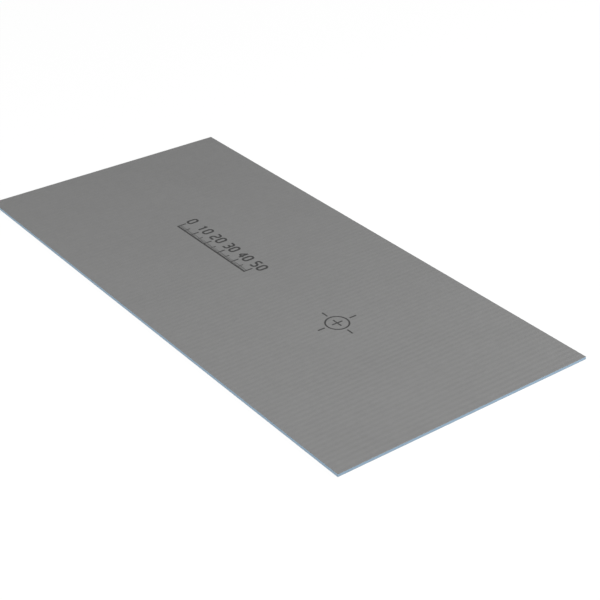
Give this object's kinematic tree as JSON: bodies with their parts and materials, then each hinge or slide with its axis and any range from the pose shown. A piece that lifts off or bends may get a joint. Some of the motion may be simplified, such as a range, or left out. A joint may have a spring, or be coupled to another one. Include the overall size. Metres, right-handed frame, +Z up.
{
  "type": "foam tile backer board",
  "caption": "Flat rectangular foam tile backer board: a rigid pale blue foam core, bare at its edges, with a thin grey mesh-reinforced cement coating on both faces.",
  "frame": {"origin": "middle of the underside, where the board lies on the floor", "axes": "+X along the board's length, +Y across its width, +Z up through its thickness, out of the face that is tiled"},
  "size_m": [2.5, 1.2, 0.0125],
  "materials": {
    "foam": "matte sawn closed-cell foam",
    "mortar": "matte ribbed cement mortar over glass-fibre mesh"
  },
  "bodies": {
    "root": {"foam_core": "foam", "face_coating": "mortar", "back_coating": "mortar"}
  },
  "joints": []
}
